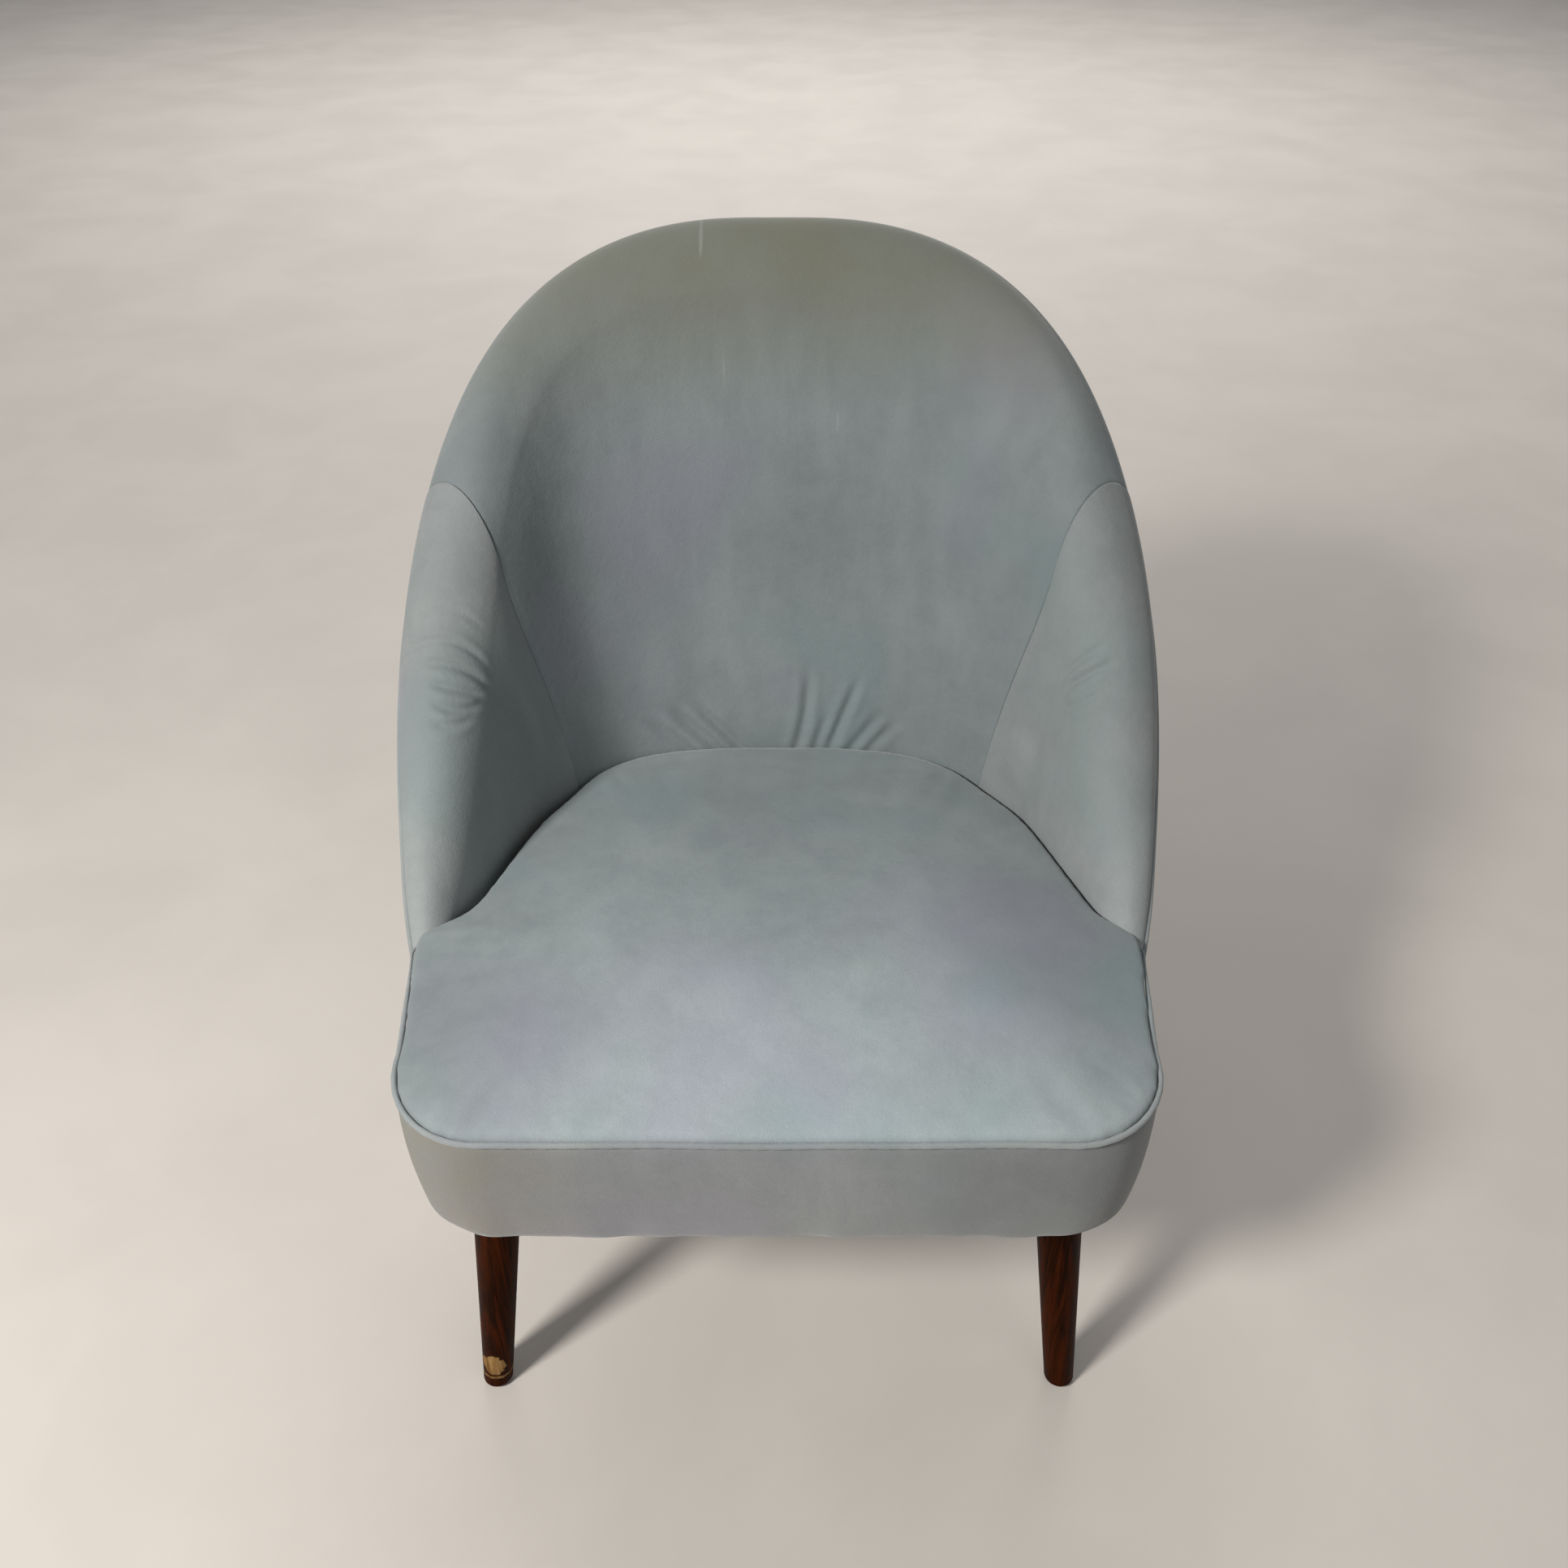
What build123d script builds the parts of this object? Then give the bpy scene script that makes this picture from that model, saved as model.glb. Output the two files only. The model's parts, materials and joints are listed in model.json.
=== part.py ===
from build123d import *
import os
from collections import namedtuple
from math import cos, exp, hypot, radians, sin

# Upholstered bedroom chair: an arched wrap-around back, a boxed sprung seat and four splayed tapered legs.
# Millimetres. +Z is up, the chair faces -Y, and the origin is on the floor under the middle of the whole.

# Overall sizes
overall_height = 862.0
overall_depth = 640.0
seat_seam_height = 400.0
frame_bottom = 287.0

# Plan of the back shell, at the bottom of its outer face
arm_overhang = 8.0
shell_round_depth = 270.0
shell_squareness = 2.75
shell_lean_back = 12.0
shell_lean_side = 7.6
arm_reach = 60.0
arm_tip_turn = 6.0

# Thickness of the padded shell and the slope of its rolled edge
shell_thickness = 66.0
shoulder_fill = 15.0
shoulder_angle = 52.0
shoulder_spread = 20.0
brow_lift = 13.0
brow_angle = 45.0
brow_spread = 18.0
arm_tip_thickness = 14.0
arm_taper_length = 175.0
arm_tip_height = 390.0
seam_angle = 50.0

# Layers of the upholstery
cover = 1.8
gap = 0.3
welt_radius = 2.2
welt_facets = 8
joint_gap = 0.95
frame_depth = 20.0
frame_set_in = 4.8
web_thickness = 1.4
web_width = 50.0
web_room = 2.2

# Seat
seat_half_width = 283.0
seat_front_radius = 75.0
seat_side_lead = 45.0
seat_crown = 16.0
seat_play = 2.5
padding_play = 1.2
border_tuck = 2.5
felt_thickness = 3.0
felt_set_in = 8.0
crown_steps = [(0.0, 0.0), (3.0, 0.3), (12.0, 0.62), (32.0, 0.88), (64.0, 1.0)]

# Timber base
ring_thickness = 20.0
ring_set_up = 2.0
ring_clear = 0.5
rail_height = 38.0
rail_thickness = 24.0
rear_rail_clear = 34.0
rear_rail_from_side = 166.0
opening_from_front = 58.0
opening_from_side = 118.0
opening_waist_depth = 150.0
opening_taper = 62.0
opening_radius = 30.0
block_height = 28.0
block_side = 48.0
block_corner = 4.0
block_screw_offset = 16.0
post_width = 22.0
post_half_angle = 3.0
hoop_height = 42.0
hoop_drop = 1.8
post_angles = {"back_post": 24.0, "wing_post": 66.0}
web_bands = {"wing_post": (365.0, 465.0), "back_post": (575.0, 660.0)}

# Legs and their fixings
leg_top_diameter = 42.0
leg_foot_diameter = 26.0
leg_foot_round = 2.5
leg_spare = 15.0
leg_hole_play = 2.0
front_leg_from_side = 59.0
front_leg_from_front = 80.0
rear_leg_from_side = 138.0
rear_leg_from_rear = 164.0
front_splay_out = 30.0
front_splay_ahead = 25.0
rear_splay_out = 44.0
rear_splay_back = 84.0
bolt_diameter = 8.0
bolt_in_leg = 36.0
bolt_above_block = 4.0
hole_play = 0.1
over_cut = 1.0
tee_nut_flange = 20.0
tee_nut_flange_thickness = 1.6
tee_nut_barrel = 11.0
tee_nut_depth = 12.0
glide_diameter = 20.0
glide_thickness = 3.0
glide_nail = 3.0
glide_nail_length = 14.0

# Springs, clips, screws and staples
spring_count = 5
spring_end_clear = 4.0
spring_wire = 3.4
spring_half_width = 24.0
spring_bends = 13
spring_bend_radius = 10.0
clip_length = 16.0
clip_width = 14.0
clip_thickness = 1.2
screw_diameter = 4.0
screw_head = 8.0
screw_head_height = 3.0
screw_length = 44.0
rail_screw_share = 0.35
dust_cover_thickness = 0.8
dust_cover_set_in = 9.0
staple_length = 10.0
staple_wire = 0.8
staple_spacing = 60.0
staple_set_in = 4.0

front_face = -overall_depth / 2 + welt_radius
shell_half_width = seat_half_width + arm_overhang
middle_fill = shoulder_fill * exp(-((shoulder_angle / shoulder_spread) ** 2))
roll_radius = (shell_thickness + middle_fill) / 2
ring_bottom = frame_bottom + ring_set_up
ring_top = ring_bottom + ring_thickness
rail_top = ring_top + rail_height
felt_bottom = rail_top + spring_wire + hole_play + clip_thickness + gap
foam_bottom = felt_bottom + felt_thickness + gap

# The shell is described at stations round its plan. A station has the foot of the outer face, the outward
# direction, the lean, the padded thickness and how far up the lean the centre of the rolled edge lies.
Station = namedtuple("Station", "foot outward lean thickness rise")


def apex_rise(foot_y, outward_y, lean, radius, tip_y, slope):
    """How far up the lean the top of the roll lies, for an edge that is one sloping line from the side."""
    start = arm_tip_height - frame_bottom - radius * sin(lean)
    start += slope * (foot_y - outward_y * radius * cos(lean) - tip_y)
    return start / (cos(lean) - slope * outward_y * sin(lean))


lean_rear = radians(shell_lean_back)
top_rise = (overall_height - frame_bottom - roll_radius * sin(lean_rear)) / cos(lean_rear)
rear_reach = (top_rise - roll_radius) * sin(lean_rear) + roll_radius * (1 - cos(lean_rear))
shell_rear = overall_depth / 2 - rear_reach
shell_middle = shell_rear - shell_round_depth
tip_y = shell_middle - arm_reach
top_y = shell_rear + top_rise * sin(lean_rear) - roll_radius * cos(lean_rear)
edge_slope = (overall_height - arm_tip_height) / (top_y - tip_y)


def station(angle, forward=0.0):
    """The station at an angle from the middle of the back, or that far forward of the rounded part."""
    side = 1 if angle >= 0 else -1
    power = 2 / shell_squareness
    along = abs(sin(radians(angle))) ** power
    back = max(cos(radians(angle)), 0.0) ** power
    turn = arm_tip_turn * (forward / arm_reach) ** 2
    foot = (side * (shell_half_width * along - turn), shell_middle + shell_round_depth * back - forward)
    out_x = side * along ** (shell_squareness - 1) / shell_half_width
    out_y = back ** (shell_squareness - 1) / shell_round_depth
    size = hypot(out_x, out_y)
    outward = (out_x / size, out_y / size)
    lean = radians(shell_lean_side + (shell_lean_back - shell_lean_side) * outward[1])
    taper = min((foot[1] - tip_y) / arm_taper_length, 1.0)
    fill = shoulder_fill * exp(-(((abs(angle) - shoulder_angle) / shoulder_spread) ** 2))
    thickness = arm_tip_thickness + (shell_thickness + fill - arm_tip_thickness) * sin(radians(90 * taper))
    rise = apex_rise(foot[1], outward[1], lean, thickness / 2, tip_y, edge_slope) - thickness / 2
    rise += brow_lift * exp(-(((abs(angle) - brow_angle) / brow_spread) ** 2))
    return Station(foot, outward, lean, thickness, rise)


def station_plane(place):
    """Upright plane across the shell: its x runs outwards and its y runs up."""
    x, y = place.outward
    return Plane(origin=(*place.foot, frame_bottom), x_dir=(x, y, 0), z_dir=(y, -x, 0))


def in_section(place, depth, rise):
    """Point of a station's plane that lies so deep under the outer face, and so far up the lean."""
    return (
        rise * sin(place.lean) - depth * cos(place.lean),
        rise * cos(place.lean) + depth * sin(place.lean),
    )


def in_space(place, depth, rise):
    """The same point in the chair's own frame."""
    out, up = in_section(place, depth, rise)
    return Vector(
        place.foot[0] + out * place.outward[0], place.foot[1] + out * place.outward[1], frame_bottom + up
    )


def rise_at(place, depth, height):
    """How far up the lean a point so deep under the outer face reaches that height above the floor."""
    return (height - frame_bottom - depth * sin(place.lean)) / cos(place.lean)


def core_depth(place):
    """Depth at which the padding starts, behind the timber and the webbing."""
    return min(frame_set_in + frame_depth + web_thickness + web_room, place.thickness / 2)


def frame_far(place):
    """Depth of the timber's inner face, in front of which the webbing and the padding lie."""
    return core_depth(place) - web_thickness - web_room


centre_stations = [station(seam_angle * i / 5) for i in range(-5, 6)]
wing_angles = [seam_angle + (90 - seam_angle) * i / 4 for i in range(5)]
wing_forwards = [arm_reach / 2, arm_reach]


def wing_stations(side):
    """Stations from the seam to the tip of one arm."""
    round_part = [station(side * a) for a in wing_angles]
    return round_part + [station(side * 90, f) for f in wing_forwards]


def roll_arc(place, radius, inwards):
    """Half of the rolled edge as two arcs, drawn from the inner face to the outer face or back again."""
    angles = [180, 135, 90, 45, 0] if inwards else [0, 45, 90, 135, 180]
    middle = place.thickness / 2
    points = []
    for a in angles:
        points.append(
            in_section(place, middle - radius * cos(radians(a)), place.rise + radius * sin(radians(a)))
        )
    ThreePointArc(points[0], points[1], points[2])
    ThreePointArc(points[2], points[3], points[4])


def inner_cover_section(place):
    """Cover of the inside and the rolled edge, as far as the outside seam."""
    inner = place.thickness
    radius = place.thickness / 2
    low = ring_top + gap
    with BuildLine() as edge:
        Line(in_section(place, inner, rise_at(place, inner, low)), in_section(place, inner, place.rise))
        roll_arc(place, radius, True)
        Line(in_section(place, 0, place.rise), in_section(place, cover, place.rise))
        roll_arc(place, radius - cover, False)
        last = in_section(place, inner - cover, rise_at(place, inner - cover, low))
        Line(in_section(place, inner - cover, place.rise), last)
        Line(last, in_section(place, inner, rise_at(place, inner, low)))
    make_face(edge.edges())


def foam_section(place):
    """Padding of the inside, which hooks over the top of the timber hoop."""
    skin = cover + gap
    inner = place.thickness - skin
    core = core_depth(place)
    low = ring_top + gap
    with BuildLine() as edge:
        Line(in_section(place, inner, rise_at(place, inner, low)), in_section(place, inner, place.rise))
        roll_arc(place, place.thickness / 2 - skin, True)
        Line(in_section(place, skin, place.rise), in_section(place, core, place.rise))
        last = in_section(place, core, rise_at(place, core, low))
        Line(in_section(place, core, place.rise), last)
        Line(last, in_section(place, inner, rise_at(place, inner, low)))
    make_face(edge.edges())


def slab_section(place, near, far, low, high):
    """Four-sided section between two depths and two rises."""
    with BuildLine() as edge:
        Polyline(
            in_section(place, near, low),
            in_section(place, near, high),
            in_section(place, far, high),
            in_section(place, far, low),
            close=True,
        )
    make_face(edge.edges())


def outer_cover_section(place):
    """Cover of the outside, from under the seat frame up to the outside seam."""
    slab_section(place, 0, cover, 0, place.rise - 2 * (welt_radius + joint_gap))


def hoop_section(place):
    """Bent plywood hoop under the rolled edge."""
    top = place.rise - hoop_drop
    slab_section(place, frame_set_in, frame_far(place), top - hoop_height, top)


def post_section(place, top):
    """Upright timber post that stands on the base ring."""
    far = frame_far(place)
    with BuildLine() as edge:
        Polyline(
            in_section(place, frame_set_in, rise_at(place, frame_set_in, ring_top)),
            in_section(place, frame_set_in, top),
            in_section(place, far, top),
            in_section(place, far, rise_at(place, far, ring_top)),
            close=True,
        )
    make_face(edge.edges())


def under_hoop_section(place):
    """Post that reaches the underside of the hoop."""
    post_section(place, place.rise - hoop_drop - hoop_height - joint_gap)


def arm_post_section(place):
    """Post in front of the end of the hoop, as high as the hoop's top."""
    post_section(place, place.rise - joint_gap)


def lofted(label, places, section):
    """One solid lofted through a section at each station, written as its own node."""
    with BuildPart() as piece:
        for place in places:
            with BuildSketch(station_plane(place)):
                section(place)
        loft()
    return finished(piece, label)


def finished(piece, label):
    """Names a piece and writes it to its own file."""
    piece.part.label = label
    export_step(piece.part, f"parts/{label}.step")
    return piece


os.makedirs("parts", exist_ok=True)
sides = {"left": -1, "right": 1}

# Shell: covers, padding and hoop
lofted("inner_back_panel", centre_stations, inner_cover_section)
lofted("back_foam", centre_stations, foam_section)
lofted("outer_back_panel", centre_stations, outer_cover_section)
for name, side in sides.items():
    lofted(f"wing_panel_{name}", wing_stations(side), inner_cover_section)
    lofted(f"wing_foam_{name}", wing_stations(side), foam_section)
    lofted(f"outer_wing_panel_{name}", wing_stations(side), outer_cover_section)

hoop_stations = [station(-a) for a in reversed(wing_angles[1:])] + centre_stations
hoop_stations += [station(a) for a in wing_angles[1:]]
lofted("edge_hoop", hoop_stations, hoop_section)

# Posts from the base ring to the hoop
post_stations = {}
for label, angle in post_angles.items():
    post_stations[label] = [angle - post_half_angle, angle, angle + post_half_angle]
for name, side in sides.items():
    for label, angles in post_stations.items():
        lofted(f"{label}_{name}", [station(side * a) for a in angles], under_hoop_section)
    arm_post_places = [station(side * 90, joint_gap + post_width * i / 2) for i in range(3)]
    lofted(f"arm_post_{name}", arm_post_places, arm_post_section)

# Elastic webbing across the posts, in bands that end at the pair of posts that carry them
with BuildPart() as webbing:
    for label, heights in web_bands.items():
        reach = post_angles[label] + post_half_angle
        for height in heights:
            for i in range(-4, 5):
                place = station(reach * i / 4)
                near = frame_far(place) + gap
                low = rise_at(place, near, height)
                with BuildSketch(station_plane(place)):
                    slab_section(place, near, near + web_thickness, low, low + web_width)
            loft()
finished(webbing, "back_webbing")

# Piping along the outside seam
with BuildPart() as back_welt:
    for places in (wing_stations(-1), centre_stations, wing_stations(1)):
        for place in places:
            with BuildSketch(station_plane(place)):
                with Locations(in_section(place, cover / 2, place.rise - welt_radius - joint_gap)):
                    RegularPolygon(welt_radius, welt_facets)
        loft()
finished(back_welt, "back_welt")

# Seat outline: straight front and sides, then round the inside of the arms and the back
seat_side_y = tip_y - seat_side_lead
arm_places = wing_stations(1)
seat_places = [station(0), station(seam_angle / 2)] + arm_places[0:5:2]


def seat_rear_points(inset):
    """Points of the seat's plan from the right arm round to the left arm, moved inwards."""
    half = []
    for place in seat_places:
        depth = place.thickness + (seat_play + inset) / cos(place.lean)
        point = in_space(place, depth, rise_at(place, depth, rail_top))
        half.append((point.X, point.Y))
    half.append((seat_half_width - inset, seat_side_y))
    return list(reversed(half)) + [(-x, y) for x, y in half[1:]]


def seat_outline(inset):
    """Face of the seat's plan, moved inwards."""
    rear = seat_rear_points(inset)
    x, y = seat_half_width - inset, front_face + inset
    with BuildLine() as edge:
        Spline(*rear, tangents=[(0, 1), (0, -1)])
        FilletPolyline(rear[-1], (-x, y), (x, y), rear[0], radius=seat_front_radius - inset)
    make_face(edge.edges())


def crown(inset, low):
    """Crowned top of the seat as a solid, inset by a layer and starting at a level."""
    layers = []
    for extra, share in crown_steps:
        with BuildSketch(Plane.XY.offset(low + seat_crown * share)) as layer:
            seat_outline(inset + extra)
        layers.append(layer.sketch)
    loft(layers)


crown_low = seat_seam_height + welt_radius + gap
with BuildPart() as seat_hollow:
    crown(cover, crown_low - cover)
with BuildPart() as seat_cover_top:
    crown(0, crown_low)
    add(seat_hollow.part, mode=Mode.SUBTRACT)
finished(seat_cover_top, "seat_cover_top")

padding_inset = welt_radius + padding_play
foam_shoulder = crown_low - padding_inset
foam_tuck = border_tuck * (foam_shoulder - foam_bottom) / (foam_shoulder - frame_bottom) + gap
with BuildPart() as seat_foam:
    with BuildSketch(Plane.XY.offset(foam_bottom)):
        seat_outline(padding_inset + foam_tuck)
    with BuildSketch(Plane.XY.offset(foam_shoulder)):
        seat_outline(padding_inset)
    loft()
    crown(padding_inset, foam_shoulder)
finished(seat_foam, "seat_foam")

with BuildPart() as seat_felt:
    with BuildSketch(Plane.XY.offset(felt_bottom)):
        seat_outline(padding_inset + felt_set_in)
    extrude(amount=felt_thickness)
finished(seat_felt, "seat_felt")


def border_face(inset):
    """Face inside the seat's front and sides as far back as the arm tips."""
    x, y = seat_half_width - inset, front_face + inset
    with BuildLine() as edge:
        FilletPolyline(
            (-x, tip_y - gap), (-x, y), (x, y), (x, tip_y - gap), radius=seat_front_radius - inset
        )
        Line((x, tip_y - gap), (-x, tip_y - gap))
    make_face(edge.edges())


def border_block(inset):
    """Solid inside the seat border, with its lower edge drawn in."""
    layers = []
    for extra, height in ((border_tuck, frame_bottom), (0, seat_seam_height - welt_radius - gap)):
        with BuildSketch(Plane.XY.offset(height)) as layer:
            border_face(inset + extra)
        layers.append(layer.sketch)
    loft(layers)


with BuildPart() as border_hollow:
    border_block(cover)
with BuildPart() as seat_border:
    border_block(0)
    add(border_hollow.part, mode=Mode.SUBTRACT)
finished(seat_border, "seat_border")

with BuildPart() as seat_welt:
    with BuildLine(Plane.XY.offset(seat_seam_height)):
        seam = FilletPolyline(
            (-seat_half_width, tip_y - gap),
            (-seat_half_width, front_face),
            (seat_half_width, front_face),
            (seat_half_width, tip_y - gap),
            radius=seat_front_radius,
        )
    with BuildSketch(Plane(seam @ 0, z_dir=seam % 0)):
        Circle(welt_radius)
    sweep(path=seam)
finished(seat_welt, "seat_welt")

# Plan of the base, inside the covers
front_inset = border_tuck + cover + ring_clear
ring_places = list(reversed(wing_stations(-1))) + centre_stations[1:-1] + wing_stations(1)


def base_edge(inset):
    """Edge of the base's plan, moved inwards from the covers."""
    under = cover + ring_clear + inset
    rear = []
    for place in ring_places:
        rear.append((place.foot[0] - place.outward[0] * under, place.foot[1] - place.outward[1] * under))
    x, y = seat_half_width - front_inset - inset, front_face + front_inset + inset
    with BuildLine() as edge:
        Spline(*rear, tangents=[(0, 1), (0, -1)])
        Line(rear[-1], (x, tip_y))
        FilletPolyline(
            (x, tip_y), (x, y), (-x, y), (-x, tip_y), radius=seat_front_radius - front_inset - inset
        )
        Line((-x, tip_y), rear[0])
    return edge


legs = {}
for name, side in sides.items():
    front_top = (side * (seat_half_width - front_leg_from_side), front_face + front_leg_from_front)
    front_foot = (front_top[0] + side * front_splay_out, front_top[1] - front_splay_ahead)
    rear_top = (side * (shell_half_width - rear_leg_from_side), shell_rear - rear_leg_from_rear)
    rear_foot = (rear_top[0] + side * rear_splay_out, rear_top[1] + rear_splay_back)
    legs[f"front_{name}"] = (front_top, front_foot)
    legs[f"rear_{name}"] = (rear_top, rear_foot)
leg_tops = [top for top, foot in legs.values()]

# Rails: the middle of each in plan, with its length along X and along Y
front_rail_y = front_face + front_inset + rail_thickness / 2
front_rail_half_length = seat_half_width - seat_front_radius
rear_rail_y = shell_rear - 2 * roll_radius - rear_rail_clear - rail_thickness / 2
rear_rail_half_length = shell_half_width - rear_rail_from_side
side_rail_x = seat_half_width - front_inset - rail_thickness / 2
side_rail_front = front_face + seat_front_radius
side_rail_length = tip_y - gap - side_rail_front
side_rail_y = side_rail_front + side_rail_length / 2
rails = {
    "front_rail": ((0, front_rail_y), (2 * front_rail_half_length, rail_thickness)),
    "rear_rail": ((0, rear_rail_y), (2 * rear_rail_half_length, rail_thickness)),
    "side_rail_left": ((-side_rail_x, side_rail_y), (rail_thickness, side_rail_length)),
    "side_rail_right": ((side_rail_x, side_rail_y), (rail_thickness, side_rail_length)),
}

# Screws go up through the ring into the rails and the corner blocks
screw_spots = []
for (x, y), (length, width) in rails.values():
    for share in (-rail_screw_share, rail_screw_share):
        if length > width:
            screw_spots.append((x + share * length, y))
        else:
            screw_spots.append((x, y + share * width))
for x, y in leg_tops:
    screw_spots.append((x - block_screw_offset, y + block_screw_offset))
    screw_spots.append((x + block_screw_offset, y - block_screw_offset))


def drill(spots, diameter, start, depth):
    """Cuts round holes upwards from a level."""
    with BuildSketch(Plane.XY.offset(start)) as holes:
        with Locations(*spots):
            Circle(diameter / 2)
    extrude(holes.sketch, amount=depth, mode=Mode.SUBTRACT)


opening_half = seat_half_width - opening_from_side
opening_rear = rear_rail_y - rail_thickness
opening_right = [
    (opening_half, front_face + opening_from_front),
    (opening_half, opening_rear - opening_waist_depth),
    (opening_half - opening_taper, opening_rear),
]
opening_left = [(-x, y) for x, y in reversed(opening_right)]
screw_hole = screw_diameter + 2 * hole_play
bolt_hole = bolt_diameter + 2 * hole_play
with BuildPart() as base_ring:
    with BuildSketch(Plane.XY.offset(ring_bottom)):
        make_face(base_edge(0).edges())
        with BuildLine() as opening:
            FilletPolyline(
                *opening_right,
                *opening_left,
                radius=opening_radius,
                close=True,
            )
        make_face(opening.edges(), mode=Mode.SUBTRACT)
    extrude(amount=ring_thickness)
    drill(leg_tops, bolt_hole, ring_bottom, ring_thickness)
    drill(screw_spots, screw_hole, ring_bottom, ring_thickness)
    drill(screw_spots, screw_head + 2 * hole_play, ring_bottom, screw_head_height + hole_play)
finished(base_ring, "base_ring")

for label, (middle, size) in rails.items():
    with BuildPart() as rail:
        with BuildSketch(Plane.XY.offset(ring_top)):
            with Locations(middle):
                Rectangle(*size)
        extrude(amount=rail_height)
        drill(screw_spots, screw_hole, ring_top, screw_length - ring_thickness + hole_play)
    finished(rail, label)

with BuildPart() as frame_screws:
    with BuildSketch(Plane.XY.offset(ring_bottom)):
        with Locations(*screw_spots):
            Circle(screw_head / 2)
    extrude(amount=screw_head_height)
    with BuildSketch(Plane.XY.offset(ring_bottom)):
        with Locations(*screw_spots):
            Circle(screw_diameter / 2)
    extrude(amount=screw_length)
finished(frame_screws, "frame_screws")

# Corner blocks, legs and the bolts that join them
block_top = ring_top + block_height
barrel_hole = tee_nut_barrel + 2 * hole_play
for name, (top, foot) in legs.items():
    with BuildPart() as block:
        with BuildSketch(Plane.XY.offset(ring_top)):
            with Locations(top):
                RectangleRounded(block_side, block_side, block_corner)
        extrude(amount=block_height)
        drill([top], bolt_hole, ring_top, block_height)
        drill([top], barrel_hole, block_top - tee_nut_depth - hole_play, tee_nut_depth + over_cut)
        drill(screw_spots, screw_hole, ring_top, screw_length - ring_thickness + hole_play)
    finished(block, f"corner_block_{name}")

    leg_high = Vector(*top, ring_bottom)
    leg_low = Vector(*foot, glide_thickness)
    axis = (leg_high - leg_low).normalized()
    flare = (leg_top_diameter - leg_foot_diameter) / 2 / (leg_high - leg_low).length * leg_spare
    with BuildPart() as leg:
        with BuildSketch(Plane(leg_low - axis * leg_spare, z_dir=axis)):
            Circle(leg_foot_diameter / 2 - flare)
        with BuildSketch(Plane(leg_high + axis * leg_spare, z_dir=axis)):
            Circle(leg_top_diameter / 2 + flare)
        loft()
        split(bisect_by=Plane.XY.offset(ring_bottom), keep=Keep.BOTTOM)
        split(bisect_by=Plane.XY.offset(glide_thickness), keep=Keep.TOP)
        fillet(leg.faces().sort_by(Axis.Z)[0].edges(), leg_foot_round)
        drill([top], bolt_hole, ring_bottom - bolt_in_leg - hole_play, bolt_in_leg + over_cut)
        drill([foot], glide_nail + 2 * hole_play, glide_thickness, glide_nail_length + hole_play)
    finished(leg, f"leg_{name}")

with BuildPart() as leg_bolts:
    with BuildSketch(Plane.XY.offset(ring_bottom - bolt_in_leg)):
        with Locations(*leg_tops):
            Circle(bolt_diameter / 2)
    extrude(amount=bolt_in_leg + ring_thickness + block_height + bolt_above_block)
finished(leg_bolts, "leg_bolts")

with BuildPart() as leg_tee_nuts:
    with BuildSketch(Plane.XY.offset(block_top - tee_nut_depth)):
        with Locations(*leg_tops):
            Circle(tee_nut_barrel / 2)
    extrude(amount=tee_nut_depth)
    with BuildSketch(Plane.XY.offset(block_top)):
        with Locations(*leg_tops):
            Circle(tee_nut_flange / 2)
    extrude(amount=tee_nut_flange_thickness)
    drill(leg_tops, bolt_hole, block_top - tee_nut_depth, tee_nut_depth + tee_nut_flange_thickness)
finished(leg_tee_nuts, "leg_tee_nuts")

leg_feet = [foot for top, foot in legs.values()]
with BuildPart() as leg_glides:
    with BuildSketch():
        with Locations(*leg_feet):
            Circle(glide_diameter / 2)
    extrude(amount=glide_thickness)
    with BuildSketch(Plane.XY.offset(glide_thickness)):
        with Locations(*leg_feet):
            Circle(glide_nail / 2)
    extrude(amount=glide_nail_length)
finished(leg_glides, "leg_glides")

# Zig-zag seat springs between the front and rear rails, with a clip at each end
spring_front = front_rail_y - clip_length / 2
spring_rear = rear_rail_y + clip_length / 2
bend_front = front_rail_y + rail_thickness
bend_rear = rear_rail_y - rail_thickness
bend_pitch = (bend_rear - bend_front) / (spring_bends - 1)
spring_reach = rear_rail_half_length - clip_width / 2 - spring_end_clear
spring_xs = [spring_reach * (2 * i / (spring_count - 1) - 1) for i in range(spring_count)]
spring_z = rail_top + spring_wire / 2
with BuildPart() as seat_springs:
    for x in spring_xs:
        points = [(x, spring_front), (x, bend_front)]
        reach = spring_half_width
        for i in range(spring_bends - 1):
            points.append((x + reach, bend_front + bend_pitch * i))
            points.append((x + reach, bend_front + bend_pitch * (i + 1)))
            reach = -reach
        points += [(x, bend_rear), (x, spring_rear)]
        with BuildLine(Plane.XY.offset(spring_z)):
            run = FilletPolyline(*points, radius=spring_bend_radius)
        with BuildSketch(Plane(run @ 0, z_dir=run % 0)):
            Circle(spring_wire / 2)
        sweep(path=run)
finished(seat_springs, "seat_springs")

clip_spots = [(x, y) for x in spring_xs for y in (front_rail_y, rear_rail_y)]
with BuildPart() as spring_clips:
    with BuildSketch(Plane.XY.offset(rail_top)):
        with Locations(*clip_spots):
            Rectangle(clip_width, clip_length)
    extrude(amount=spring_wire + hole_play + clip_thickness)
    with BuildSketch(Plane.XY.offset(rail_top)):
        with Locations(*clip_spots):
            Rectangle(spring_wire + 2 * hole_play, clip_length + 2 * over_cut)
    extrude(amount=spring_wire + hole_play, mode=Mode.SUBTRACT)
finished(spring_clips, "spring_clips")

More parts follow.
